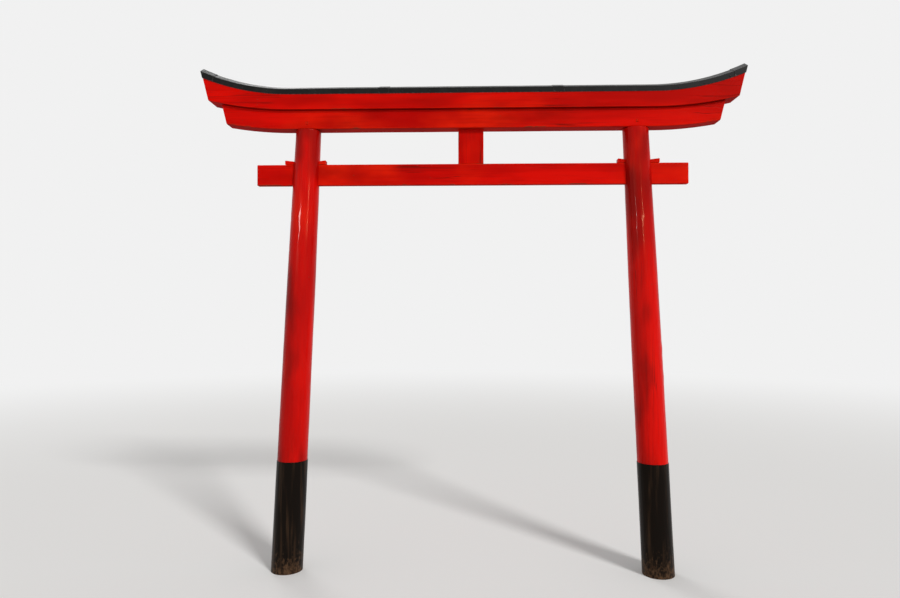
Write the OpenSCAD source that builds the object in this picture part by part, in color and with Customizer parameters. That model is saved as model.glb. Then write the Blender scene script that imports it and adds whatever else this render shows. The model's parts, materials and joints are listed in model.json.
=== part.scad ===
// A timber torii gate of the kind that stands in close rows over a shrine path.
// Two leaning log posts carry a wedged tie beam and a pair of lintels whose ends turn up.
// Millimetres. +Z is up, +Y runs through the gate, and the origin is the centre of the
// left post's foot, on the ground.

/* [Gateway] */
// Clear width between the two posts, at the ground
clear_w = 2000; // [1400:10:2600]
// Height of the tie beam's underside above the ground
passage_h = 2280; // [1900:10:2800]
// Inward lean of each post, in degrees
post_lean = 2.7; // [0:0.1:4]

/* [Posts] */
// Diameter of a post at the ground
post_foot_d = 186; // [160:1:220]
// Diameter of a post under the lower lintel
post_top_d = 154; // [140:1:190]
// How far a post's radius swells beyond a straight taper, halfway up
post_swell = 4; // [0:1:8]
// Bevel round the top of a post
post_bevel = 6; // [2:1:10]
// Width of the tenon on a post's top, along the lintel
post_tenon_w = 72; // [50:1:90]
// Thickness of that tenon
post_tenon_t = 36; // [24:1:50]
// Height of that tenon
post_tenon_h = 70; // [40:1:85]

/* [Base sleeves] */
// Height of the black sleeve round a post's foot
sleeve_h = 650; // [400:10:900]
// Thickness of the sleeve
sleeve_t = 5; // [4:0.5:10]
// How far the sleeve stands out from the post above it
sleeve_proud = 2; // [1:0.5:4]
// Bevel round the sleeve's upper edge
sleeve_bevel = 1.5; // [0.5:0.5:3]

/* [Tie beam] */
// Height of the tie beam
tie_h = 125; // [90:1:160]
// Thickness of the tie beam
tie_t = 40; // [34:1:60]
// Length of the tie beam's ends beyond the posts
tie_overhang = 210; // [100:5:300]
// Chamfer on the tie beam's edges
tie_chamfer = 4; // [2:1:8]

/* [Wedges] */
// Height of a wedge at its thin end
wedge_tip_h = 12; // [8:1:20]
// Rise of a wedge over its length, as a share of that length
wedge_slope = 0.12; // [0.06:0.01:0.16]
// Length of a wedge that stands out of the post
wedge_out = 42; // [20:1:60]
// Free space between the two wedges, inside the post
wedge_gap = 12; // [6:1:20]

/* [Centre strut] */
// Height of the strut, between the tie beam and the lower lintel
strut_h = 205; // [150:5:260]
// Width of the strut
strut_w = 150; // [100:1:200]
// Thickness of the strut
strut_t = 36; // [30:1:50]
// Chamfer on the strut's corners
strut_chamfer = 3; // [2:1:6]
// Length of the stub tenon at each end of the strut
strut_tenon_h = 24; // [15:1:35]
// Width of the stub tenons
strut_tenon_w = 75; // [50:1:90]
// Thickness of the stub tenons
strut_tenon_t = 18; // [12:1:26]

/* [Lower lintel] */
// Height of the lower lintel
lower_h = 112; // [90:1:140]
// Thickness of the lower lintel
lower_t = 104; // [90:1:130]
// Chamfer on the lower lintel's long edges
lower_chamfer = 5; // [2:1:10]
// How far the lower lintel's end stands back from the upper one's
lower_setback = 70; // [30:5:120]

/* [Draw pins] */
// Side of the square pin that locks each post's tenon in the lower lintel
pin_side = 15; // [10:1:20]
// How far a pin stands out of the lintel's faces
pin_proud = 3; // [2:0.5:8]
// Chamfer round a pin's ends
pin_chamfer = 2; // [1:0.5:3]

/* [Upper lintel] */
// Height of the upper lintel's face, in its straight middle
upper_h = 118; // [90:1:150]
// Thickness of the upper lintel
upper_t = 146; // [120:1:180]
// Rise of the upper lintel's ridge above its faces
ridge_rise = 30; // [15:1:50]
// Reach of the upper lintel beyond the post's middle, along its underside
upper_overhang = 570; // [400:10:650]
// Slant of the lintels' ends from upright, in degrees
end_rake = 14; // [0:1:25]

/* [Upturned ends] */
// Radius of the upturn where the two lintels meet
seam_r = 2100; // [1800:50:3200]
// Radius of the upturn along the upper lintel's top
roof_r = 1350; // [1200:50:2000]

/* [Roof sheets] */
// Thickness of the folded sheet over the upper lintel
sheet_t = 2; // [1:0.5:4]
// Depth of the sheet's turned-down edge
drip_h = 30; // [15:1:40]
// Width of the cap folded over each end of the sheet
end_cap_w = 46; // [30:1:80]
// Width of the strip that covers a joint between two sheets
joint_cover_w = 64; // [40:1:100]

/* [Hidden] */
$fn = 72;
// Facets of a full turn on the lintels' long curves, in a preview
long_curve_fn = 360;

// Clearances: between a tenon and its mortise, and between a pin, sheet or sleeve and its wood
joint_clear = 0.5;
skin_clear = 0.3;
// Length by which a cutting shape runs past what it cuts
past = 60;
// Straight steps in the curved outline of a post
post_steps = 6;
// Flat length kept beside a post's top before the lintels begin to turn up
seat_margin = 20;
// Room above a tenon in its mortise
tenon_headroom = 2;
// The seam's curve on the lower lintel is this much flatter, so that the ends never bind
seam_relief = 20;

vermilion = "#cf2417";
black_paint = "#171412";
black_sheet = "#24211f";

// Heights of the bearing faces
tie_top = passage_h + tie_h;
shoulder_z = tie_top + strut_h;
seam_z = shoulder_z + lower_h;
pin_z = shoulder_z + post_tenon_h / 2;
eave_z = seam_z + upper_h;
// Depth that reaches below both lintels from the roof line, and above it from the seam
roof_depth = 2 * (lower_h + upper_h + ridge_rise);

// Distance of a post's middle from the gate's middle, at the ground and at a height
foot_x = (clear_w + post_foot_d) / 2;
function post_x(z) = foot_x - z * tan(post_lean);

// Length of a post along its own middle line, and its radius at a distance along it
post_len = shoulder_z / cos(post_lean);
function post_r(along) =
    post_foot_d / 2 + (post_top_d - post_foot_d) / 2 * along / post_len
    + post_swell * sin(180 * along / post_len);
// The same where a sleeve covers the post and its sides are straight
function foot_r(along) = post_r(0) + (post_r(sleeve_h) - post_r(0)) * along / sleeve_h;

// How much further out the roof's end is at the eave than where the lintels meet
roof_reach = upper_h * tan(end_rake);

// Half-lengths, from the gate's middle, the straight one in whole millimetres
straight_half = ceil(post_x(shoulder_z) + post_top_d / 2 + seat_margin);
upper_half = post_x(shoulder_z) + upper_overhang;
past_ends = upper_half + 4 * past;
lower_half = upper_half - lower_setback;
tie_half = post_x(passage_h) + post_r(passage_h) + tie_overhang;

// The roof line, at a distance outside the upper lintel's own slopes and faces
roof_slope = atan(ridge_rise / (upper_t / 2));
function roof_line(out, low) = [
    [-upper_t / 2 - out, -low],
    [-upper_t / 2 - out, out / cos(roof_slope) - out * tan(roof_slope)],
    [0, ridge_rise + out / cos(roof_slope)],
    [upper_t / 2 + out, out / cos(roof_slope) - out * tan(roof_slope)],
    [upper_t / 2 + out, -low]
];

// A third of the roof for each sheet
sheet_joint_x = round(upper_half / 3);

// Distance from the wood to the strips and caps that lie over the sheets
cover_out = 2 * skin_clear + sheet_t;

// A rectangle with its corners cut off, centred across and standing on its lower edge
module cut_corner_rect(w, h, cut) {
    polygon([
        [-w / 2 + cut, 0], [w / 2 - cut, 0], [w / 2, cut], [w / 2, h - cut],
        [w / 2 - cut, h], [-w / 2 + cut, h], [-w / 2, h - cut], [-w / 2, cut]
    ]);
}

// Sweeps a section, drawn as thickness by height above the reference line, along a lintel:
// straight in the middle, then up round an arc of radius r at each end
module lintel_sweep(r, half) {
    turn = asin((half - straight_half) / r);
    rotate([90, 0, 90]) linear_extrude(2 * straight_half, center = true) children();
    for (side = [0, 1]) mirror([side, 0, 0])
        translate([straight_half, 0, r]) rotate([90, 90, 0])
            rotate_extrude(angle = turn, $fn = long_curve_fn)
                translate([r, 0]) rotate(90) children();
}

// The space between the two slanting end cuts, of half-length half at the seam's height
module between_raked_ends(half) {
    slant = roof_depth * tan(end_rake);
    translate([0, 0, seam_z]) rotate([90, 0, 0])
        linear_extrude(2 * upper_t, center = true) polygon([
            [-half + slant, -roof_depth], [half - slant, -roof_depth],
            [half + slant, roof_depth], [-half - slant, roof_depth]
        ]);
}

// Everything of a leaning post's frame: children stand on the post's own middle line
module on_post_line() {
    translate([foot_x, 0, 0]) rotate([0, -post_lean, 0]) children();
}

// A slab of height h on the ground, wide enough to cut a post or sleeve level
module level_slab(h) {
    translate([foot_x - past, 0, h / 2])
        cube([4 * post_foot_d + 4 * past, 3 * post_foot_d, h], center = true);
}

// The opening for the tie beam, with a ceiling that rises both ways for the two wedges
module tie_mortise() {
    reach = post_foot_d / 2 + past;
    low = tie_h + wedge_tip_h;
    high = low + (reach - wedge_gap / 2) * wedge_slope;
    translate([post_x(passage_h), 0, passage_h]) rotate([90, 0, 0])
        linear_extrude(tie_t + 2 * joint_clear, center = true) polygon([
            [-reach, 0], [reach, 0], [reach, high],
            [wedge_gap / 2, low], [-wedge_gap / 2, low], [-reach, high]
        ]);
}

// A revolved bevel that takes the edge off a round top of radius r, at a post's height z
module top_bevel(r, z, cut) {
    translate([post_x(z), 0, z]) rotate_extrude() polygon([
        [r - cut, 0], [r + cut, -2 * cut], [r + cut, cut], [r - cut, cut]
    ]);
}

// A ring round the foot of a post, from one distance outside its surface to another
module foot_ring(from, to) {
    low = -past;
    high = sleeve_h + past;
    on_post_line() rotate_extrude() polygon([
        [foot_r(low) + from, low], [foot_r(low) + to, low],
        [foot_r(high) + to, high], [foot_r(high) + from, high]
    ]);
}

// A post, drawn on the right-hand side, with its foot turned down to take the sleeve
module post() {
    outline = [for (i = [-1 : post_steps + 1]) let (along = i * post_len / post_steps)
        [post_r(along), along]];
    tail = -post_len / post_steps;
    head = post_len - tail;
    color(vermilion) {
        difference() {
            intersection() {
                on_post_line() rotate_extrude()
                    polygon(concat([[0, tail]], outline, [[0, head]]));
                level_slab(shoulder_z);
            }
            tie_mortise();
            top_bevel(post_top_d / 2, shoulder_z, post_bevel);
            intersection() {
                foot_ring(sleeve_proud - sleeve_t - skin_clear, past);
                level_slab(sleeve_h + skin_clear);
            }
        }
        difference() {
            translate([post_x(shoulder_z), 0, shoulder_z + post_tenon_h / 2 - past / 2])
                cube([post_tenon_w, post_tenon_t, post_tenon_h + past], center = true);
            pin_hole();
        }
    }
}

// The sleeve round a post's foot, drawn on the right-hand side
module base_sleeve() {
    color(black_paint) difference() {
        intersection() {
            foot_ring(sleeve_proud - sleeve_t, sleeve_proud);
            level_slab(sleeve_h);
        }
        top_bevel(post_r(sleeve_h) + sleeve_proud, sleeve_h, sleeve_bevel);
    }
}

// The square hole through lintel and tenon for a draw pin, drawn on the right-hand side
module pin_hole() {
    side = pin_side + 2 * skin_clear;
    translate([post_x(shoulder_z), 0, pin_z]) cube([side, 2 * upper_t, side], center = true);
}

// The pin itself, with a chamfer round each end
module draw_pin() {
    length = lower_t + 2 * pin_proud;
    color(vermilion) translate([post_x(shoulder_z), 0, pin_z]) intersection() {
        translate([0, -length / 2]) linear_extrude(pin_side, center = true)
            cut_corner_rect(pin_side, length, pin_chamfer);
        translate([0, -length / 2]) rotate([0, 90, 0]) linear_extrude(pin_side, center = true)
            cut_corner_rect(pin_side, length, pin_chamfer);
    }
}

// The beam that runs through both posts and ties them
module tie_beam() {
    color(vermilion) difference() {
        translate([0, 0, passage_h]) intersection() {
            rotate([90, 0, 90]) linear_extrude(2 * tie_half, center = true)
                cut_corner_rect(tie_t, tie_h, tie_chamfer);
            rotate([90, 0, 0]) linear_extrude(2 * tie_t, center = true)
                cut_corner_rect(2 * tie_half, tie_h, tie_chamfer);
            translate([0, -tie_t / 2, 0]) linear_extrude(tie_h)
                cut_corner_rect(2 * tie_half, tie_t, tie_chamfer);
        }
        strut_mortise(tie_top - strut_tenon_h - tenon_headroom);
    }
}

// A blind hole for the strut's stub tenon, from height z up
module strut_mortise(z) {
    h = strut_tenon_h + tenon_headroom;
    translate([0, 0, z + h / 2])
        cube([strut_tenon_w + 2 * joint_clear, strut_tenon_t + 2 * joint_clear, h], center = true);
}

// A wedge over the tie beam, drawn on the right-hand side: out = 1 is driven from outside
module wedge(out) {
    length = post_r(passage_h) - wedge_gap / 2 + wedge_out;
    head_h = wedge_tip_h + length * wedge_slope;
    nose = wedge_tip_h / 4;
    color(vermilion) translate([post_x(passage_h) + out * wedge_gap / 2, 0, tie_top])
        mirror([out < 0 ? 1 : 0, 0, 0]) rotate([90, 0, 0])
            linear_extrude(tie_t, center = true) polygon([
                [0, 0], [length - nose, 0], [length, nose], [length, head_h - nose],
                [length - nose, head_h - nose * wedge_slope], [0, wedge_tip_h]
            ]);
}

// The short post in the middle, between the tie beam and the lower lintel
module centre_strut() {
    color(vermilion) {
        translate([0, -strut_t / 2, tie_top]) linear_extrude(strut_h)
            cut_corner_rect(strut_w, strut_t, strut_chamfer);
        translate([0, 0, tie_top + strut_h / 2])
            cube([strut_tenon_w, strut_tenon_t, strut_h + 2 * strut_tenon_h], center = true);
    }
}

// A blind hole for a post's tenon, drawn on the right-hand side
module post_mortise() {
    h = post_tenon_h + tenon_headroom;
    translate([post_x(shoulder_z), 0, shoulder_z + h / 2])
        cube([post_tenon_w + 2 * joint_clear, post_tenon_t + 2 * joint_clear, h], center = true);
}

// The lower of the two lintels, which sits on the posts' shoulders
module lower_lintel() {
    color(vermilion) difference() {
        intersection() {
            translate([0, 0, seam_z]) lintel_sweep(seam_r + seam_relief, upper_half + past)
                translate([0, -lower_h]) cut_corner_rect(lower_t, lower_h, lower_chamfer);
            between_raked_ends(lower_half);
        }
        for (side = [0, 1]) mirror([side, 0, 0]) {
            post_mortise();
            pin_hole();
        }
        strut_mortise(shoulder_z);
    }
}

// The upper lintel, with a low ridge and ends that turn up and grow deeper
module upper_lintel() {
    color(vermilion) intersection() {
        difference() {
            translate([0, 0, eave_z]) lintel_sweep(roof_r, upper_half + 2 * past)
                polygon(roof_line(0, roof_depth));
            translate([0, 0, seam_z]) lintel_sweep(seam_r, upper_half + 3 * past)
                translate([-upper_t, -2 * roof_depth]) square([2 * upper_t, 2 * roof_depth]);
        }
        between_raked_ends(upper_half);
    }
}

// Everything of the roof out to a distance from the wood, down to a depth below the eave
// and as far as a distance beyond the upper lintel's ends
module roof_block(out, low, beyond) {
    intersection() {
        translate([0, 0, eave_z]) lintel_sweep(roof_r, upper_half + 2 * past)
            polygon(roof_line(out, low));
        between_raked_ends(upper_half + beyond);
    }
}

// What lies between two distances from the gate's middle, at the roof
module roof_stretch(from, to) {
    translate([(from + to) / 2, 0, eave_z])
        cube([to - from, 2 * upper_t, 2 * roof_depth], center = true);
}

// Sheet folded over the roof, its inner face at a distance from the wood
module folded_sheet(out, from, to) {
    color(black_sheet) difference() {
        intersection() {
            roof_block(out + sheet_t, drip_h, 0);
            roof_stretch(from, to);
        }
        roof_block(out, drip_h + past, past);
    }
}

// The middle sheet, then one that runs to an end, drawn on the right-hand side
module middle_sheet() {
    joint = sheet_joint_x - joint_clear / 2;
    folded_sheet(skin_clear, -joint, joint);
}
module end_sheet() {
    folded_sheet(skin_clear, sheet_joint_x + joint_clear / 2, past_ends);
}

// The strip folded over the joint between two sheets, drawn on the right-hand side
module joint_cover() {
    folded_sheet(
        cover_out, sheet_joint_x - joint_cover_w / 2, sheet_joint_x + joint_cover_w / 2
    );
}

// The cap that wraps the roof's end and closes it, drawn on the right-hand side
module end_cap() {
    color(black_sheet) difference() {
        intersection() {
            roof_block(cover_out + sheet_t, drip_h, skin_clear + sheet_t);
            roof_stretch(upper_half + roof_reach - end_cap_w, past_ends);
        }
        roof_block(cover_out, drip_h + past, skin_clear);
    }
}

// Places what is drawn about the gate's middle so that the left foot is at the origin
module in_place(side = 1) {
    translate([foot_x, 0, 0]) mirror([side < 0 ? 1 : 0, 0, 0]) children();
}

in_place(-1) post();  // left_post
in_place() post();  // right_post
in_place(-1) base_sleeve();  // left_base_sleeve
in_place() base_sleeve();  // right_base_sleeve
in_place() tie_beam();
in_place(-1) wedge(1);  // left_outer_wedge
in_place(-1) wedge(-1);  // left_inner_wedge
in_place() wedge(-1);  // right_inner_wedge
in_place() wedge(1);  // right_outer_wedge
in_place() centre_strut();
in_place() lower_lintel();
in_place(-1) draw_pin();  // left_draw_pin
in_place() draw_pin();  // right_draw_pin
in_place() upper_lintel();
in_place(-1) end_sheet();  // left_roof_sheet
in_place() middle_sheet();  // middle_roof_sheet
in_place() end_sheet();  // right_roof_sheet
in_place(-1) joint_cover();  // left_joint_cover
in_place() joint_cover();  // right_joint_cover
in_place(-1) end_cap();  // left_end_cap
in_place() end_cap();  // right_end_cap
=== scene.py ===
# Looks for a timber torii gate: gloss vermilion logs and beams, black feet and a black sheet roof.
import json
import math

import bmesh
import bpy
import numpy as np
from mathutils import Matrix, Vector
from mathutils.bvhtree import BVHTree


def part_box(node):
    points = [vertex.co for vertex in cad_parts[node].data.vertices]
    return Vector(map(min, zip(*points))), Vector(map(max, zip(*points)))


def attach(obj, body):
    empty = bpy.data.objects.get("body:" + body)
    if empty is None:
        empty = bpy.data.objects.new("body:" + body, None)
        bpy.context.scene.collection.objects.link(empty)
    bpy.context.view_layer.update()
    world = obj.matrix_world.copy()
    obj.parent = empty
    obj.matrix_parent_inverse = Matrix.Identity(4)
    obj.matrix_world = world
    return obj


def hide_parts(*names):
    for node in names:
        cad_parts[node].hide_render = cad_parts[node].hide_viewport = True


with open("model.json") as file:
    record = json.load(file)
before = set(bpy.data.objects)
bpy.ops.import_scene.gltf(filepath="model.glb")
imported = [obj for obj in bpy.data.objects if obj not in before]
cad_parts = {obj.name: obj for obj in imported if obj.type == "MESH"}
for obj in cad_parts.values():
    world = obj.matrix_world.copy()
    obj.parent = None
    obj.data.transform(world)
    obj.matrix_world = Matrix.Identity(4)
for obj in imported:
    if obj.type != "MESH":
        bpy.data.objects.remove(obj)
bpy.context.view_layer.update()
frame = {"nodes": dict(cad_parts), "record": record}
nodes = frame["nodes"]

# Places read from the frame; lengths and heights are in metres throughout
FEET = {mount["name"]: Vector(mount["pos_m"]) for mount in frame["record"]["mounts"]}
LEFT_FOOT = FEET["left_post_foot"]
RIGHT_FOOT = FEET["right_post_foot"]
MIDDLE_X = (LEFT_FOOT.x + RIGHT_FOOT.x) / 2
SLEEVE_TOP_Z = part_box("left_base_sleeve")[1].z
SHOULDER_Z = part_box("lower_lintel")[0].z  # where a log ends and its tenon begins
TIE_LOW, TIE_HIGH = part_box("tie_beam")

# Nodes that are made alike
WEDGES = ("left_outer_wedge", "left_inner_wedge", "right_inner_wedge", "right_outer_wedge")
PINS = ("left_draw_pin", "right_draw_pin")
ROOF_SHEETS = ("left_roof_sheet", "middle_roof_sheet", "right_roof_sheet")
ROOF_TRIM = ("left_joint_cover", "right_joint_cover", "left_end_cap", "right_end_cap")

# Camera
EYE_HEIGHT = 1.54
EYE_DISTANCE = 4.09  # before the gate
EYE_TURN = 1.74  # degrees to the left
EYE_TILT = 0.9  # degrees up
PHOTO_WIDTH_PX = 900
FOCAL_PX = 690
SENSOR_MM = 36

# Rings of points that make up a log and its sleeve
AROUND = 144  # points in a ring
FOOT_RINGS = 90  # on the log inside the sleeve
LENGTH_RINGS = 324  # on the log above the sleeve
TOP_RINGS = 6  # on the log's bevelled top
LENGTH_FROM = 0.006  # from the sleeve's top up to the first ring above it
LENGTH_TO = 0.014  # from the last of those rings up to the shoulder
TOP_FROM = 0.012  # from the bevelled top's first ring up to the shoulder
EDGE_GAP = 0.0002  # from the ring nearest to an edge to that edge
OUTER_RINGS = 100  # on a sleeve's outside, up to its bevel
INNER_RINGS = 12  # on its inside
SLEEVE_BEVEL = 0.0016  # from the last ring under a sleeve's bevel up to its top
SLEEVE_RIM_DROP = 0.0003  # from a sleeve's top down to the first ring inside
PROBE_ABOVE_GROUND = 0.0002  # lowest height at which a surface is measured
OUTSIDE = 1  # distance from the gate's middle plane at which a ray from outside starts

# Joints of a log
TENON_FROM = 0.01  # a post's points this far above the shoulder belong to its tenon
TENON_ROOT = 0.02  # how deep a tenon is sunk into its log, so that the two become one shape
JOINT_GAP = 0.0008  # round the tie beam where it enters a log
CUTTER_REACH = 0.2  # how far a mortise's cutter reaches to either side of the log's middle line

# How a log departs from the turned form
LOG_LOBES = ((2, 0.0009), (3, 0.0005), (5, 0.0002))  # number of lobes round it, and their depth
LOG_TWIST = 0.35  # the most that lobes twist, in radians a metre
LOG_WAVES = ((1.7, 0.0009), (0.62, 0.0004))  # length of the waves up it, and their depth
WAVE_EVEN = 0.6  # share of a wave that is the same all round
LOG_FLATS = 22  # flats left by a drawknife
FLAT_DEPTH = 0.0005
SLOW_WANDER = (0.12, 0.9)  # how far the flats wander, in radians, and over what length
QUICK_WANDER = (0.07, 0.37)
QUICK_LOBES = 3  # how often the quick wandering repeats round the log
KNOTS = 9
KNOTS_FROM = 0.8  # lowest place for a knot
KNOTS_BELOW_SHOULDER = 0.2  # from the highest place for a knot up to the shoulder
KNOT_RISE = 0.0012
KNOT_REACH = (0.012, 0.022)  # the least and the most
KNOT_STRETCH = 1.5  # how much taller than wide a knot is
KNOT_RADIUS = 0.085  # radius of the log on which a knot's width is measured
DIP_DEPTH = 0.35  # depth of the dip round a knot, as a share of the knot's rise
DIP_PLACE = 1.9  # where it is, in the knot's reaches
DIP_WIDTH = 0.5  # how wide it is, in the knot's reaches
LOG_SHRINK = 0.0016  # how far a log is drawn in, so that its relief stays inside the turned form

# Meshes of timbers and sheets, and how they depart from planed and folded forms
TIMBER_CELL = 0.012
SHEET_CELL = 0.014
WEDGE_ARRIS = 0.0008  # width of the rounding along a wedge's edges
PIN_ARRIS = 0.0006
SHEET_ARRIS = 0.0008
WARP = 0.0007  # depth of a timber's warp
WARP_LENGTHS = (0.9, 0.09, 0.12)  # its wavelengths along X, Y and Z
DENT = 0.0005  # depth of a sheet's dents
DENT_LENGTHS = (0.16, 0.08, 0.10)  # their wavelengths along X, Y and Z
UNEVEN_WAVES = 7  # waves that make up a warp or the dents
FACES_UP = 0.2  # least upward part of the normal on a sheet's outer faces
FACES_OUT = 0.5  # or least part of it that points away from the gate's middle plane
WELD = 1e-5  # points closer than this are one point
FLAT_WITHIN = 0.3  # faces that turn by less than this are one face, in degrees
CUT_WITHIN = 1e-7  # points closer than this to a cut lie on it
ROUNDED_FOLD = 25  # edges sharper than this are rounded, in degrees
ARRIS_FOLD = 8  # edges then sharper than this are arrises, where paint rubs off, in degrees
WEDGE_SEED = 20  # seed of the first wedge's warp, from which the others count up
PIN_SEED = 30
SHEET_SEED = 40

# Nails
NAIL_PITCH = 0.155
NAIL_MARGIN = 0.11  # from a sheet's ends
NAIL_ABOVE_EDGE = 0.012  # from a sheet's lower edge
NAIL_RADIUS = 0.005
NAIL_HEIGHT = 0.0022
NAIL_PROUD = 0.0013  # how much of that height stands out of the sheet
NAIL_RINGS = 4
NAIL_SIDES = 12
RIM_INSET = 0.001  # how far inside a sheet's widest place its lower edge is looked for

# Paint on logs and on timbers: the least roughness, the gloss coat's weight and the stains' strength
LOG_FINISH = {"least_rough": 0.20, "gloss": 0.02, "stained": 0.60}
TIMBER_FINISH = {"least_rough": 0.34, "gloss": 0.006, "stained": 0.30}
# Where the tree had its heart in each beam, in Y and Z
TIE_HEART = (0.004, TIE_LOW.z - 0.03)
LOWER_HEART = (0.01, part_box("lower_lintel")[1].z - 0.04)
UPPER_HEART = (-0.012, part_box("upper_lintel")[1].z - 0.10)
# Turn of the year rings' wave, in radians: for a metre of radius, and what unevenness and good years add
RING_TURN = 1250
RING_UNEVEN = 12
RING_GOOD_YEARS = 30

# Linear colours of paint, wood, dust and sheet; the stain colour also paints shade on downward faces,
# and the dust colour also paints brown sheen on the black feet
VERMILION = (0.70, 0.0030, 0.0010)
VERMILION_DEEP = (0.44, 0.0010, 0.0006)
VERMILION_WARM = (0.84, 0.0160, 0.0020)
STAIN_AND_SHADE = (0.15, 0.0010, 0.0006)
SMUDGE = (0.060, 0.004, 0.002)
BARE_WOOD = (0.10, 0.045, 0.022)
BLACK_PAINT = (0.005, 0.004, 0.0035)
DUST_AND_SHEEN = (0.15, 0.08, 0.042)
SHEET_BLACK = (0.005, 0.0047, 0.0044)
SHEET_GREY = (0.022, 0.0205, 0.019)
SHEET_RUBBED = (0.085, 0.080, 0.075)
RUST = (0.070, 0.024, 0.010)

# Floor, background and light
BACKGROUND = (0.88, 0.88, 0.88)
FLOOR_COLOUR = (0.90, 0.89, 0.875)
FLOOR_HALF = 60
FADE_FROM = 3.5  # distances at which the floor starts and ends to melt into the background
FADE_TO = 14
WORLD_STRENGTH = 0.36
WHITE = (1, 1, 1)
WARM = (1.0, 0.62, 0.36)
# Each sun's name, direction, strength, and the angle that it fills, in degrees
SUNS = (
    ("key", (-0.55, 0.75, -0.62), 1.9, 12),
    ("back_fill", (0.45, -0.80, -0.50), 0.55, 25),
)
# Narrow lamps that only the logs' gloss shows, at one distance from the left post and one height
STREAK_DISTANCE = 5.2
STREAK_Z = 2.8
# Each one's name, turn from straight before that post in degrees, width, length, power and colour
STREAKS = (
    ("cool_streak", -26, 0.14, 0.42, 34, WHITE),
    ("warm_streak", 34, 0.24, 0.6, 32, WARM),
)


class Nodes:
    """A tree of shader nodes, and short ways to add and join them."""

    def __init__(self, tree):
        self.tree = tree

    def add(self, kind, inputs=None, **settings):
        node = self.tree.nodes.new(kind)
        for key, value in settings.items():
            setattr(node, key, value)
        for key, value in (inputs or {}).items():
            self.feed(node.inputs[key], value)
        return node

    def feed(self, socket, value):
        """Links another node's output to a socket, or sets the socket's own value."""
        if isinstance(value, bpy.types.NodeSocket):
            self.tree.links.new(value, socket)
        elif isinstance(value, tuple) and len(value) == 3 and socket.type == "RGBA":
            socket.default_value = (*value, 1)
        else:
            socket.default_value = value

    def show(self, output, factor, first, second):
        """Shows a blend of two shaders at the tree's output."""
        blend = self.add("ShaderNodeMixShader", {0: factor, 1: first.outputs[0], 2: second.outputs[0]})
        self.feed(self.tree.nodes[output].inputs["Surface"], blend.outputs[0])

    def math(self, operation, *values):
        node = self.add("ShaderNodeMath", operation=operation)
        for socket, value in zip(node.inputs, values):
            self.feed(socket, value)
        return node.outputs[0]

    def times(self, first, *others):
        for other in others:
            first = self.math("MULTIPLY", first, other)
        return first

    def scaled(self, value, factor, plus):
        return self.math("MULTIPLY_ADD", value, factor, plus)

    def seen(self):
        """1 for a ray from the camera, a mirror or glass, and 0 for light on the object."""
        ray = self.add("ShaderNodeLightPath").outputs
        opaque = self.math("MAXIMUM", ray["Is Camera Ray"], ray["Is Glossy Ray"])
        return self.math("MAXIMUM", opaque, ray["Is Transmission Ray"])


class Shader(Nodes):
    """A new material, and the patterns that its look is made of."""

    def __init__(self, name):
        self.material = bpy.data.materials.new(name)
        self.material.use_nodes = True
        super().__init__(self.material.node_tree)
        self.bsdf = self.tree.nodes["Principled BSDF"]

    def surface(self, **inputs):
        """Feeds the surface shader's sockets, each by its name with _ for a space."""
        for key, value in inputs.items():
            self.feed(self.bsdf.inputs[key.replace("_", " ")], value)

    def coords(self, axis="Z", stretch=1, offset=(0, 0, 0)):
        """The object's own coordinates, scaled so that a pattern is drawn out along one axis."""
        place = self.add("ShaderNodeTexCoord").outputs["Object"]
        scale = tuple(1 / stretch if name == axis else 1 for name in "XYZ")
        inputs = {"Vector": place, "Scale": scale, "Location": offset}
        return self.add("ShaderNodeMapping", inputs).outputs["Vector"]

    def parts(self, vector):
        return self.add("ShaderNodeSeparateXYZ", {0: vector}).outputs

    def joined(self, *values):
        return self.add("ShaderNodeCombineXYZ", dict(enumerate(values))).outputs[0]

    def position(self):
        return self.parts(self.add("ShaderNodeTexCoord").outputs["Object"])

    def facing(self):
        return self.parts(self.add("ShaderNodeNewGeometry").outputs["Normal"])

    def mark(self, name):
        """A value that the mesh carries at its points."""
        return self.add("ShaderNodeAttribute", attribute_name=name).outputs["Fac"]

    def noise(self, vector, scale, detail=4, roughness=0.55):
        inputs = {"Vector": vector, "Scale": scale, "Detail": detail, "Roughness": roughness}
        return self.add("ShaderNodeTexNoise", inputs).outputs["Fac"]

    def spots(self, vector, scale):
        """Distance from the middle of the nearest of many scattered cells."""
        return self.add("ShaderNodeTexVoronoi", {"Vector": vector, "Scale": scale}).outputs["Distance"]

    def lines(self, vector, scale, width, detail=3):
        """Thin lines where a noise passes its middle value."""
        noise = self.noise(vector, scale, detail, roughness=0.5)
        level = self.math("ABSOLUTE", self.math("SUBTRACT", noise, 0.5))
        return self.band(level, width, width * 0.2)

    def band(self, value, low, high, kind="SMOOTHSTEP"):
        """0 at low and 1 at high; low above high turns it round."""
        inputs = {"Value": value, "From Min": low, "From Max": high}
        return self.add("ShaderNodeMapRange", inputs, interpolation_type=kind).outputs["Result"]

    def mix(self, factor, under, over):
        node = self.add("ShaderNodeMix", data_type="RGBA", clamp_factor=True)
        low, high = (socket for socket in node.inputs if socket.type == "RGBA")
        self.feed(node.inputs["Factor"], factor)
        self.feed(low, under)
        self.feed(high, over)
        return next(socket for socket in node.outputs if socket.type == "RGBA")

    def layer(self, under, over, strength, *masks):
        """Lays a colour over another at a strength, where all the masks are 1."""
        return self.mix(self.times(*masks, strength), under, over)

    def bump(self, height, strength, distance, normal=None):
        node = self.add("ShaderNodeBump", {"Height": height, "Strength": strength, "Distance": distance})
        if normal is not None:
            self.feed(node.inputs["Normal"], normal)
        return node.outputs["Normal"]


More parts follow.
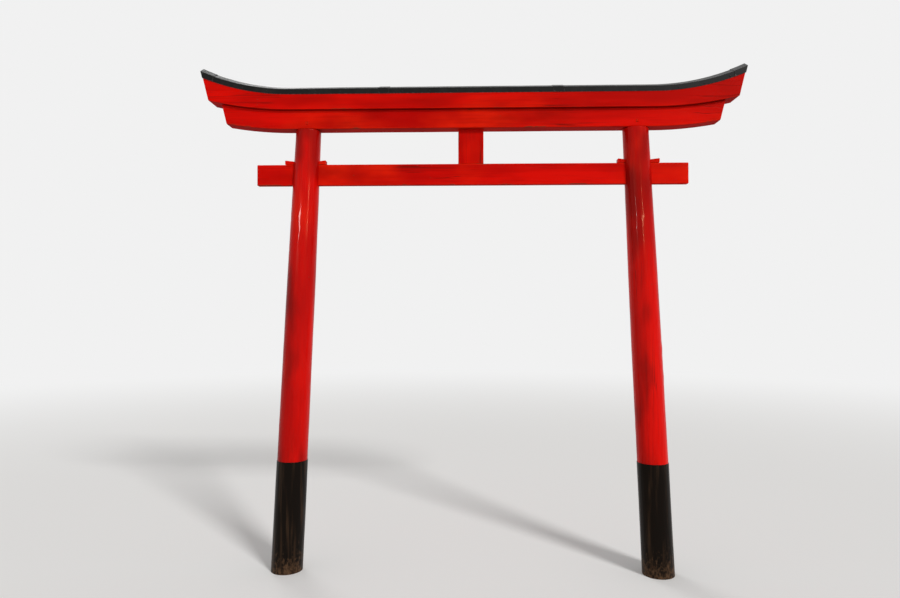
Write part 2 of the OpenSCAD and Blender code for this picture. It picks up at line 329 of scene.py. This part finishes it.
def weathered_vermilion(paint, grain, stained, streaks, broad):
    """Vermilion with deep and warm patches, streaks along the grain, stains and smudges."""
    patches = paint.noise(paint.coords(grain, 1.6, (3.1, 1.7, 0.4)), scale=1.9)
    stains = paint.noise(paint.coords(grain, 3.2, (6.4, 2.9, 8.3)), scale=6.5, detail=2.5, roughness=0.5)
    smudges = paint.noise(paint.coords(grain, 5, (0.9, 5.2, 2.3)), scale=7, detail=5, roughness=0.6)
    colour = paint.mix(paint.band(broad, 0.34, 0.66), VERMILION_DEEP, VERMILION)
    colour = paint.mix(paint.band(patches, 0.50, 0.78), colour, VERMILION_WARM)
    colour = paint.layer(colour, VERMILION_DEEP, 0.35, paint.band(streaks, 0.52, 0.34))
    colour = paint.layer(colour, STAIN_AND_SHADE, stained, paint.band(stains, 0.50, 0.70))
    return paint.layer(colour, SMUDGE, 0.34, paint.band(smudges, 0.58, 0.80))


def drying_checks(paint, grain, slant):
    """Thin cracks along the grain in places, but not where a face is cut aslant to it."""
    places = paint.noise(paint.coords(grain, 2.5, (7.7, 0.3, 4.1)), scale=2.6, detail=2)
    where = paint.times(paint.band(places, 0.52, 0.62), paint.band(slant, 0.20, 0.10))
    return paint.times(paint.lines(paint.coords(grain, 45), scale=26, width=0.013), where)


def paint_chips(paint, grain):
    """Small chips in the paint, gathered in places."""
    places = paint.noise(paint.coords(offset=(2.2, 8.1, 0.6)), scale=3.3, detail=3)
    chips = paint.band(paint.spots(paint.coords(grain, 2.2), scale=34), 0.075, 0.045)
    return paint.times(chips, paint.band(places, 0.56, 0.62))


def rubbing(shader, uneven):
    """How hard a place is rubbed: most along the arrises, and unevenly."""
    return shader.math("ADD", shader.mark("arris"), shader.scaled(uneven, 0.9, -0.45))


def end_grain_pattern(paint, heart_y, heart_z):
    """Year rings round the tree's heart, and cracks that run out from it, on a beam's cut end."""
    x, y, z = paint.position()
    y = paint.math("SUBTRACT", y, heart_y)
    z = paint.math("SUBTRACT", z, heart_z)
    radius = paint.math("SQRT", paint.math("ADD", paint.times(y, y), paint.times(z, z)))
    uneven = paint.noise(paint.coords(), scale=16, detail=3)
    good_years = paint.noise(paint.joined(radius), scale=38, detail=3, roughness=0.6)
    turn = paint.scaled(uneven, RING_UNEVEN, paint.times(radius, RING_TURN))
    turn = paint.scaled(good_years, RING_GOOD_YEARS, turn)
    rings = paint.band(paint.math("SINE", turn), 0.1, 1.0)

    # The third coordinate gives each beam, and each of its ends, cracks of its own
    own = paint.math("ADD", radius, paint.scaled(x, 0.9, heart_z))
    spoke = paint.joined(paint.math("DIVIDE", y, radius), paint.math("DIVIDE", z, radius), own)
    cracks = paint.lines(spoke, scale=3.1, width=0.03, detail=1)
    where = paint.band(paint.noise(spoke, scale=1.7, detail=1), 0.48, 0.58)
    return rings, paint.times(cracks, where, paint.band(radius, 0.004, 0.02))


def vermilion_paint(name, grain, least_rough, gloss, stained, heart=None):
    """Old vermilion on wood with its grain along one axis, painted darker on downward faces as painted
    shade; with a heart, cut ends show their rings.
    """
    paint = Shader(name)
    slant = paint.math("ABSOLUTE", paint.facing()["XYZ".index(grain)])
    upward = paint.facing()[2]
    # Downward faces, which get painted shade in the colour and more roughness
    under = paint.band(upward, -0.6, -0.95)
    streaks = paint.noise(paint.coords(grain, 24), scale=70, detail=5, roughness=0.6)
    broad = paint.noise(paint.coords(grain, 6), scale=5.5, detail=3)
    worn = paint.noise(paint.coords(grain, 9), scale=20)
    patchy = paint.noise(paint.coords(grain, 4, (1.1, 3.3, 0.2)), scale=30, roughness=0.6)
    checks = drying_checks(paint, grain, slant)
    chips = paint_chips(paint, grain)
    rubbed = rubbing(paint, patchy)
    bare = paint.band(rubbed, 1.06, 1.14)
    settled = paint.times(paint.band(upward, 0.6, 0.95), paint.band(broad, 0.30, 0.70), 0.38)

    colour = weathered_vermilion(paint, grain, stained, streaks, broad)
    colour = paint.layer(colour, SMUDGE, 0.6, checks)
    colour = paint.layer(colour, BARE_WOOD, 0.85, chips)
    colour = paint.layer(colour, VERMILION_WARM, 0.45, paint.band(rubbed, 0.82, 1.0))
    colour = paint.layer(colour, BARE_WOOD, 0.75, bare)
    colour = paint.mix(settled, colour, DUST_AND_SHEEN)
    # Painted shade: downward faces are darkened
    colour = paint.layer(colour, STAIN_AND_SHADE, 0.6, under)

    rough = paint.scaled(paint.band(worn, 0.25, 0.8, "LINEAR"), 0.20, least_rough)
    rough = paint.math("MAXIMUM", rough, paint.scaled(settled, 0.9, paint.times(bare, 0.5)))
    rough = paint.math("MAXIMUM", rough, paint.times(under, 0.85))

    height = paint.scaled(checks, -1.4, streaks)
    height = paint.scaled(chips, -0.8, height)
    height = paint.scaled(bare, -0.8, height)

    if heart is not None:
        cut = paint.band(slant, 0.6, 0.8)
        rings, cracks = end_grain_pattern(paint, *heart)
        tone = paint.math("MAXIMUM", paint.times(rings, 0.45), paint.times(cracks, 0.85))
        colour = paint.mix(paint.times(cut, tone), colour, SMUDGE)
        colour = paint.layer(colour, VERMILION_DEEP, 0.35, cut)
        rough = paint.math("MAXIMUM", rough, paint.times(cut, 0.48))
        relief = paint.scaled(cracks, -2.5, paint.times(rings, -0.5))
        height = paint.math("ADD", paint.times(cut, relief), height)

    normal = paint.bump(height, strength=0.5, distance=0.0007)
    normal = paint.bump(broad, strength=0.6, distance=0.005, normal=normal)
    paint.surface(Base_Color=colour, Roughness=rough, Normal=normal)
    paint.surface(Specular_IOR_Level=0.09, Specular_Tint=(1.0, 0.25, 0.12))
    paint.surface(Coat_Weight=gloss, Coat_Roughness=0.08, Coat_IOR=3.0)
    return paint.material


def black_base_paint():
    """Satin black on the posts' feet, with the dust that rain throws up from the ground, and thin brown
    vertical streaks of painted sheen.
    """
    paint = Shader("black_base_paint")
    height = paint.position()[2]
    streaks = paint.noise(paint.coords("Z", 12), scale=50, detail=5, roughness=0.6)
    # Noise of thin vertical streaks: where it is high the feet get brown painted sheen, and checks
    # gather
    sheen_and_check_noise = paint.noise(paint.coords("Z", 16, (4.0, 2.0, 0.0)), scale=34)
    splash = paint.noise(paint.coords("Z", 1.6), scale=60, detail=8, roughness=0.7)
    thrown = paint.math("SUBTRACT", splash, paint.times(height, 1.1))
    dust = paint.times(paint.band(height, 0.34, 0.0), paint.band(thrown, 0.34, 0.60), 0.6)
    painted_sheen = paint.times(paint.band(sheen_and_check_noise, 0.5, 0.8), 0.28)
    checks = paint.lines(paint.coords("Z", 45), scale=26, width=0.018)
    checks = paint.times(checks, paint.band(sheen_and_check_noise, 0.45, 0.6))
    # Brown dust near the ground, and brown streaks of painted sheen, over the black
    colour = paint.mix(paint.math("MAXIMUM", dust, painted_sheen), BLACK_PAINT, DUST_AND_SHEEN)
    rough = paint.scaled(dust, 0.35, 0.30)
    normal = paint.bump(paint.scaled(checks, -1.2, streaks), strength=0.5, distance=0.0008)
    paint.surface(Base_Color=colour, Roughness=rough, Normal=normal)
    paint.surface(Specular_IOR_Level=0.08, Specular_Tint=(1.0, 0.7, 0.5))
    return paint.material


def black_roof_sheet():
    """Satin black on sheet, greyed on top and rubbed along its folds, with specks of rust."""
    sheet = Shader("black_roof_sheet")
    upward = sheet.band(sheet.facing()[2], 0.2, 0.9)
    wear = sheet.noise(sheet.coords("Z", 3), scale=14, detail=6, roughness=0.62)
    runs = sheet.noise(sheet.coords("Z", 14, (0.0, 1.3, 0.0)), scale=40, roughness=0.6)
    specks = sheet.noise(sheet.coords(), scale=90, roughness=0.7)
    buckles = sheet.noise(sheet.coords(), scale=9, detail=3)
    grey = sheet.times(sheet.band(wear, 0.42, 0.8), sheet.scaled(upward, 0.6, 0.4))
    rubbed = sheet.band(rubbing(sheet, specks), 0.9, 1.1)
    colour = sheet.mix(grey, SHEET_BLACK, SHEET_GREY)
    colour = sheet.layer(colour, SHEET_RUBBED, 0.8, rubbed)
    colour = sheet.layer(colour, RUST, 0.8, sheet.band(specks, 0.60, 0.72), sheet.band(runs, 0.45, 0.7))
    rough = sheet.scaled(wear, 0.30, 0.26)
    normal = sheet.bump(buckles, strength=0.2, distance=0.003)
    normal = sheet.bump(specks, strength=0.15, distance=0.0004, normal=normal)
    sheet.surface(Base_Color=colour, Roughness=rough, Normal=normal, Specular_IOR_Level=0.15)
    return sheet.material


def new_object(name, data):
    thing = bpy.data.objects.new(name, data)
    bpy.context.scene.collection.objects.link(thing)
    return thing


def object_from_bmesh(name, bm):
    mesh = bpy.data.meshes.new(name)
    bm.to_mesh(mesh)
    bm.free()
    return new_object(name, mesh)


def register(piece, material, slot, *replaced):
    """Gives a finished piece its material and body, and hides the solids that it stands for; slot is not
    used.
    """
    piece.data.materials.clear()
    piece.data.materials.append(material)
    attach(piece, "root")
    if replaced:
        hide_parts(*replaced)


def smooth(piece, sharp_degrees=35):
    piece.data.shade_smooth()
    piece.data.set_sharp_from_angle(angle=math.radians(sharp_degrees))


def apply_modifiers(piece):
    bpy.context.view_layer.update()
    final = bpy.data.meshes.new_from_object(piece.evaluated_get(bpy.context.evaluated_depsgraph_get()))
    piece.modifiers.clear()
    piece.data = final


def combine(piece, tool, operation):
    """Joins the tool's shape to the piece, or takes it out of it, and removes the tool."""
    boolean = piece.modifiers.new("shape", "BOOLEAN")
    boolean.operation = operation
    boolean.solver = "EXACT"
    boolean.object = tool
    apply_modifiers(piece)
    bpy.data.objects.remove(tool)


def surface_tree(node):
    """A solid's surface, for rays to meet."""
    mesh = nodes[node].data
    points = [v.co for v in mesh.vertices]
    return BVHTree.FromPolygons(points, [tuple(p.vertices) for p in mesh.polygons])


def wandering(angle, height, rng):
    """How far round the log the flats have wandered from straight lines, in radians."""
    turn, length = SLOW_WANDER
    slow = turn * np.sin(math.tau * height / length + rng.uniform(0, math.tau))
    turn, length = QUICK_WANDER
    return slow + turn * np.sin(math.tau * height / length + QUICK_LOBES * angle)


def knot_relief(angle, height, rng):
    """A knot's low rise, and the dip round it."""
    aside = np.angle(np.exp(1j * (angle - rng.uniform(0, math.tau)))) * KNOT_RADIUS
    above = (height - rng.uniform(KNOTS_FROM, SHOULDER_Z - KNOTS_BELOW_SHOULDER)) / KNOT_STRETCH
    far = np.sqrt(aside ** 2 + above ** 2)
    reach = rng.uniform(*KNOT_REACH)
    rise = KNOT_RISE * np.exp(-(far / reach) ** 2)
    dip = DIP_DEPTH * KNOT_RISE * np.exp(-((far - DIP_PLACE * reach) / (DIP_WIDTH * reach)) ** 2)
    return rise, dip


def log_relief(angle, height, seed):
    """What the tree's growth, a drawknife and knots leave on a log: always inward, so below 0."""
    rng = np.random.default_rng(seed)
    relief = np.zeros(np.broadcast(angle, height).shape)
    for lobes, size in LOG_LOBES:
        twist = rng.uniform(-LOG_TWIST, LOG_TWIST)
        relief += size * np.cos(lobes * (angle + twist * height) + rng.uniform(0, math.tau))
    for length, size in LOG_WAVES:
        share = WAVE_EVEN + (1 - WAVE_EVEN) * np.cos(angle + rng.uniform(0, math.tau))
        relief += size * share * np.sin(math.tau * height / length + rng.uniform(0, math.tau))
    half_flat = math.pi / LOG_FLATS
    across = np.mod(angle + wandering(angle, height, rng), 2 * half_flat) - half_flat
    relief -= FLAT_DEPTH * (1 - (across / half_flat) ** 2)
    for _ in range(KNOTS):
        rise, dip = knot_relief(angle, height, rng)
        relief += rise
        relief -= dip
    return np.minimum(relief - LOG_SHRINK, 0)


class Post:
    """Where a post's middle line and turned surfaces are, read from its solids."""

    def __init__(self, side, foot, seed):
        self.side = side
        self.foot = foot
        self.seed = seed
        self.log = surface_tree(side + "_post")
        self.sleeve = surface_tree(side + "_base_sleeve")
        points = [v.co for v in nodes[side + "_post"].data.vertices]
        tenon = [point for point in points if point.z > SHOULDER_Z + TENON_FROM]
        self.tenon_low = Vector(min(point[i] for point in tenon) for i in range(3))
        self.tenon_high = Vector(max(point[i] for point in tenon) for i in range(3))
        middle = (self.tenon_low.x + self.tenon_high.x) / 2
        self.lean = (middle - foot.x) / SHOULDER_Z

    def axis_x(self, height):
        return self.foot.x + self.lean * height

    def radius(self, tree, height, outer=True):
        """Distance from the middle line to the outer surface, or to the inner one."""
        probe = max(height, PROBE_ABOVE_GROUND)
        start = Vector((self.axis_x(height), OUTSIDE if outer else 0, probe))
        return tree.ray_cast(start, Vector((0, -1 if outer else 1, 0)))[0].y

    def grid(self, tree, heights, outer=True):
        """Points on a surface, ring by ring, with the log's relief."""
        angles = np.linspace(0, math.tau, AROUND, endpoint=False)
        radii = np.array([self.radius(tree, height, outer) for height in heights])
        turn, rise = np.meshgrid(angles, heights)
        r = radii[:, None] + log_relief(turn, rise, self.seed)
        x = self.foot.x + self.lean * rise + r * np.cos(turn)
        return np.stack([x, r * np.sin(turn), rise], axis=-1)


def object_from_rings(name, rings, closed_loop):
    """A skin over rings of points: capped at both ends, or closed on itself as a tube's wall is."""
    count, around = rings.shape[:2]
    faces = []
    for i in range(count if closed_loop else count - 1):
        low, high = i * around, (i + 1) % count * around
        for j in range(around):
            k = (j + 1) % around
            faces.append((low + j, low + k, high + k, high + j))
    if not closed_loop:
        faces.append(tuple(reversed(range(around))))
        faces.append(tuple(range((count - 1) * around, count * around)))
    mesh = bpy.data.meshes.new(name)
    mesh.from_pydata([tuple(point) for point in rings.reshape(-1, 3)], [], faces)
    mesh.update()
    return new_object(name, mesh)


def box_object(name, low, high):
    bm = bmesh.new()
    bmesh.ops.create_cube(bm, size=1)
    for v in bm.verts:
        v.co = Vector(low[i] if v.co[i] < 0 else high[i] for i in range(3))
    return object_from_bmesh(name, bm)


def mortise_ceiling(post, middle):
    """Points along a mortise's ceiling, which rises both ways as the wedges' upper faces do."""
    points = []
    for where in ("outer", "inner"):
        wedge = [v.co for v in nodes[f"{post.side}_{where}_wedge"].data.vertices]
        nearest = min(abs(point.x - middle) for point in wedge)
        end_face = [point for point in wedge if abs(point.x - middle) < nearest + WELD]
        tip = max(end_face, key=lambda point: point.z)
        head = max(wedge, key=lambda point: point.z)
        slope = (head.z - tip.z) / (head.x - tip.x)
        end = middle + math.copysign(CUTTER_REACH, tip.x - middle)
        points += [(tip.x, tip.z), (end, tip.z + slope * (end - tip.x))]
    return sorted(points)


def mortise_cutter(post):
    """The shape of the hole for the tie beam and its two wedges."""
    middle = post.axis_x(TIE_LOW.z)
    outline = [(middle + reach, TIE_LOW.z - JOINT_GAP) for reach in (-CUTTER_REACH, CUTTER_REACH)]
    outline += [(x, z + JOINT_GAP) for x, z in reversed(mortise_ceiling(post, middle))]
    bm = bmesh.new()
    front = [bm.verts.new((x, TIE_LOW.y - JOINT_GAP, z)) for x, z in outline]
    back = [bm.verts.new((x, TIE_HIGH.y + JOINT_GAP, z)) for x, z in outline]
    bm.faces.new(front)
    bm.faces.new(back[::-1])
    for i in range(len(outline)):
        bm.faces.new((front[i - 1], back[i - 1], back[i], front[i]))
    bmesh.ops.recalc_face_normals(bm, faces=bm.faces)
    return object_from_bmesh("mortise_cutter", bm)


def make_post(post, material):
    """A log with its mortise and its tenon."""
    heights = np.concatenate([
        np.linspace(0, SLEEVE_TOP_Z - EDGE_GAP, FOOT_RINGS),
        [SLEEVE_TOP_Z + 2 * EDGE_GAP],
        np.linspace(SLEEVE_TOP_Z + LENGTH_FROM, SHOULDER_Z - LENGTH_TO, LENGTH_RINGS),
        np.linspace(SHOULDER_Z - TOP_FROM, SHOULDER_Z - EDGE_GAP, TOP_RINGS),
    ])
    piece = object_from_rings(post.side + "_log", post.grid(post.log, heights), closed_loop=False)
    combine(piece, mortise_cutter(post), "DIFFERENCE")
    tenon = box_object("tenon", (*post.tenon_low.xy, SHOULDER_Z - TENON_ROOT), post.tenon_high)
    combine(piece, tenon, "UNION")
    smooth(piece)
    register(piece, material, "vermilion_post", post.side + "_post")
    return piece


def make_sleeve(post, material):
    """The thin black wall round a post's foot."""
    under_bevel = SLEEVE_TOP_Z - SLEEVE_BEVEL
    mid_bevel = SLEEVE_TOP_Z - SLEEVE_BEVEL / 2
    outer = np.concatenate([np.linspace(0, under_bevel, OUTER_RINGS), [mid_bevel]])
    inner = np.linspace(SLEEVE_TOP_Z - SLEEVE_RIM_DROP, 0, INNER_RINGS)
    wall = np.concatenate([post.grid(post.sleeve, outer), post.grid(post.sleeve, inner, outer=False)])
    piece = object_from_rings(post.side + "_foot_sleeve", wall, closed_loop=True)
    smooth(piece)
    register(piece, material, "black_base", post.side + "_base_sleeve")


def unevenness(points, wavelengths, size, seed):
    """A smooth random field between -size and 0 at the points: a sum of plane waves."""
    rng = np.random.default_rng(seed)
    total = np.zeros(len(points))
    for _ in range(UNEVEN_WAVES):
        wave = rng.normal(size=3) * math.tau / np.array(wavelengths)
        total += np.sin(points @ wave + rng.uniform(0, math.tau))
    return size * (np.clip(total / UNEVEN_WAVES ** 0.5 / 2, -1, 1) - 1) / 2


def sharp_edges(bm, degrees):
    return [e for e in bm.edges if e.is_manifold and e.calc_face_angle() > math.radians(degrees)]


def cut_into_cells(bm, low, high, cell):
    for axis in range(3):
        normal = Vector(1.0 if i == axis else 0.0 for i in range(3))
        count = max(1, round((high[axis] - low[axis]) / cell))
        for i in range(1, count):
            here = low.lerp(high, i / count)
            everything = bm.verts[:] + bm.edges[:] + bm.faces[:]
            bmesh.ops.bisect_plane(bm, geom=everything, dist=CUT_WITHIN, plane_co=here, plane_no=normal)


def refined(node, name, arris, cell):
    """A copy of a solid's mesh with rounded arrises and faces cut into small cells."""
    bm = bmesh.new()
    bm.from_mesh(nodes[node].data)
    bmesh.ops.remove_doubles(bm, verts=bm.verts, dist=WELD)
    bmesh.ops.dissolve_limit(bm, angle_limit=math.radians(FLAT_WITHIN), verts=bm.verts, edges=bm.edges)
    bmesh.ops.bevel(
        bm, geom=sharp_edges(bm, ROUNDED_FOLD), offset=arris, offset_type="OFFSET", segments=2,
        profile=0.5, affect="EDGES", clamp_overlap=True,
    )
    cut_into_cells(bm, *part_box(node), cell)
    arris_mark = bm.verts.layers.float.new("arris")
    for edge in sharp_edges(bm, ARRIS_FOLD):
        for v in edge.verts:
            v[arris_mark] = 1
    return object_from_bmesh(name, bm)


def press_in(piece, depths):
    """Moves each point along its own normal by its depth, which is below 0 for inward."""
    mesh = piece.data
    count = len(mesh.vertices)
    points, normals = np.zeros(count * 3), np.zeros(count * 3)
    mesh.vertices.foreach_get("co", points)
    mesh.vertices.foreach_get("normal", normals)
    points, normals = points.reshape(-1, 3), normals.reshape(-1, 3)
    moved = points + normals * depths(points, normals)[:, None]
    mesh.vertices.foreach_set("co", moved.ravel())
    mesh.update()


def even_shading(piece):
    """Shades flat faces flat and rounded arrises round."""
    smooth(piece, sharp_degrees=60)
    weighted = piece.modifiers.new("weighted", "WEIGHTED_NORMAL")
    weighted.keep_sharp = True
    apply_modifiers(piece)


def make_timber(node, material, arris, seed):
    """A planed timber: slightly warped, with its arrises rubbed round."""
    piece = refined(node, node + "_timber", arris, TIMBER_CELL)
    press_in(piece, lambda points, normals: unevenness(points, WARP_LENGTHS, WARP, seed))
    even_shading(piece)
    register(piece, material, "vermilion_beam", node)


def make_sheet(node, material, seed):
    """A folded sheet whose outer face is a little dented between its nails."""
    def depths(points, normals):
        away = normals[:, 1] * np.sign(points[:, 1])
        outer = (normals[:, 2] > FACES_UP) | (away > FACES_OUT)
        return unevenness(points, DENT_LENGTHS, DENT, seed) * outer

    piece = refined(node, node + "_skin", SHEET_ARRIS, SHEET_CELL)
    press_in(piece, depths)
    even_shading(piece)
    register(piece, material, "black_sheet", node)


def nail_head(bm, place, outward):
    """A low domed head that faces outward along Y."""
    turns = [math.tau * j / NAIL_SIDES for j in range(NAIL_SIDES)]
    rings = []
    for i in range(NAIL_RINGS):
        swing = math.pi / 2 * i / NAIL_RINGS
        r = NAIL_RADIUS * math.cos(swing)
        y = place.y + outward * NAIL_HEIGHT * math.sin(swing)
        points = [(place.x + r * math.cos(turn), y, place.z + r * math.sin(turn)) for turn in turns]
        rings.append([bm.verts.new(point) for point in points])
    top = bm.verts.new((place.x, place.y + outward * NAIL_HEIGHT, place.z))
    bm.faces.new(rings[0])
    for j in range(NAIL_SIDES):
        for low, high in zip(rings, rings[1:]):
            bm.faces.new((low[j - 1], low[j], high[j], high[j - 1]))
        bm.faces.new((rings[-1][j - 1], rings[-1][j], top))


def nail_places(node):
    """Where nails meet a sheet's two turned-down edges, and which way each one faces."""
    tree = surface_tree(node)
    low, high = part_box(node)
    count = max(2, round((high.x - low.x - 2 * NAIL_MARGIN) / NAIL_PITCH) + 1)
    for x in np.linspace(low.x + NAIL_MARGIN, high.x - NAIL_MARGIN, count):
        edge = tree.ray_cast(Vector((x, high.y - RIM_INSET, 0)), Vector((0, 0, 1)))[0]
        if edge is None:
            continue
        for outward in (-1, 1):
            start = Vector((x, outward * OUTSIDE, edge.z + NAIL_ABOVE_EDGE))
            place = tree.ray_cast(start, Vector((0, -outward, 0)))[0]
            if place is not None:
                yield place, outward


def make_nails(material, sheets):
    """Every nail head in the roof as one piece, each sunk into its sheet but for a low dome."""
    bm = bmesh.new()
    for node in sheets:
        for place, outward in nail_places(node):
            nail_head(bm, place + Vector((0, outward * (NAIL_PROUD - NAIL_HEIGHT), 0)), outward)
    bmesh.ops.recalc_face_normals(bm, faces=bm.faces)
    piece = object_from_bmesh("roof_nails", bm)
    smooth(piece)
    register(piece, material, "black_sheet")


def set_camera():
    data = bpy.data.cameras.new("camera")
    data.sensor_width = SENSOR_MM
    data.lens = FOCAL_PX / PHOTO_WIDTH_PX * SENSOR_MM
    camera = new_object("camera", data)
    camera.location = (MIDDLE_X, -EYE_DISTANCE, EYE_HEIGHT)
    camera.rotation_euler = (math.radians(90 + EYE_TILT), 0, math.radians(EYE_TURN))
    bpy.context.scene.camera = camera


def set_floor():
    """A pale floor that melts into the background far from the gate."""
    bm = bmesh.new()
    bmesh.ops.create_grid(bm, x_segments=1, y_segments=1, size=FLOOR_HALF)
    floor = object_from_bmesh("floor", bm)
    floor.location = (MIDDLE_X, 0, 0)
    pale = Shader("pale_floor")
    pale.surface(Base_Color=FLOOR_COLOUR, Roughness=0.8, Specular_IOR_Level=0.0)
    x, y, _ = pale.position()
    far = pale.add("ShaderNodeVectorMath", {0: pale.joined(x, y)}, operation="LENGTH").outputs["Value"]
    faded = pale.times(pale.band(far, FADE_FROM, FADE_TO), pale.seen())
    background = pale.add("ShaderNodeEmission", {"Color": BACKGROUND})
    pale.show("Material Output", faded, pale.bsdf, background)
    floor.data.materials.append(pale.material)


def set_world():
    """Even light on the gate, and the plain background for what sees the world itself."""
    world = bpy.data.worlds.new("studio")
    bpy.context.scene.world = world
    world.use_nodes = True
    studio = Nodes(world.node_tree)
    lighting = studio.add("ShaderNodeBackground", {"Color": WHITE, "Strength": WORLD_STRENGTH})
    background = studio.add("ShaderNodeBackground", {"Color": BACKGROUND})
    studio.show("World Output", studio.seen(), lighting, background)


def sun_light(name, direction, strength, angle):
    data = bpy.data.lights.new(name, "SUN")
    data.energy = strength
    data.angle = math.radians(angle)
    light = new_object(name, data)
    light.rotation_euler = Vector(direction).to_track_quat("-Z", "Y").to_euler()


def streak_light(receivers, name, turn, width, length, power, colour):
    """A narrow lamp that shows in the logs' gloss and lights nothing else."""
    data = bpy.data.lights.new(name, "AREA")
    data.shape = "RECTANGLE"
    data.size = width
    data.size_y = length
    data.energy = power
    data.color = colour
    light = new_object(name, data)
    light.visible_diffuse = False
    light.visible_camera = False
    light.light_linking.receiver_collection = receivers
    swing = math.radians(turn)
    towards = Vector((-math.sin(swing), math.cos(swing), 0))
    light.location = LEFT_FOOT - STREAK_DISTANCE * towards + Vector((0, 0, STREAK_Z))
    light.rotation_euler = towards.to_track_quat("-Z", "Y").to_euler()


set_camera()
set_floor()
set_world()
for sun in SUNS:
    sun_light(*sun)

# The posts and their feet, and the lamps that the logs' gloss shows
post_paint = vermilion_paint("post_paint", "Z", **LOG_FINISH)
base_paint = black_base_paint()
glossy_logs = bpy.data.collections.new("glossy_logs")
for post in (Post("left", LEFT_FOOT, seed=11), Post("right", RIGHT_FOOT, seed=29)):
    glossy_logs.objects.link(make_post(post, post_paint))
    make_sleeve(post, base_paint)
for streak in STREAKS:
    streak_light(glossy_logs, *streak)

# The timbers; each beam has its own paint, width of rounding along its arrises, and seed of its warp
tie_paint = vermilion_paint("tie_paint", "X", **TIMBER_FINISH, heart=TIE_HEART)
lower_paint = vermilion_paint("lower_paint", "X", **TIMBER_FINISH, heart=LOWER_HEART)
upper_paint = vermilion_paint("upper_paint", "X", **TIMBER_FINISH, heart=UPPER_HEART)
strut_paint = vermilion_paint("strut_paint", "Z", **TIMBER_FINISH)
BEAMS = (
    ("tie_beam", tie_paint, 0.0012, 3),
    ("lower_lintel", lower_paint, 0.0014, 4),
    ("upper_lintel", upper_paint, 0.002, 5),
    ("centre_strut", strut_paint, 0.001, 6),
)
for beam in BEAMS:
    make_timber(*beam)
for seed, node in enumerate(WEDGES, WEDGE_SEED):
    make_timber(node, upper_paint, WEDGE_ARRIS, seed)
for seed, node in enumerate(PINS, PIN_SEED):
    make_timber(node, strut_paint, PIN_ARRIS, seed)

# The roof's lengths of sheet with their covers, caps and nails
sheet_paint = black_roof_sheet()
for seed, node in enumerate(ROOF_SHEETS + ROOF_TRIM, SHEET_SEED):
    make_sheet(node, sheet_paint, seed)
make_nails(sheet_paint, ROOF_SHEETS)

bpy.context.scene.view_settings.view_transform = "Standard"
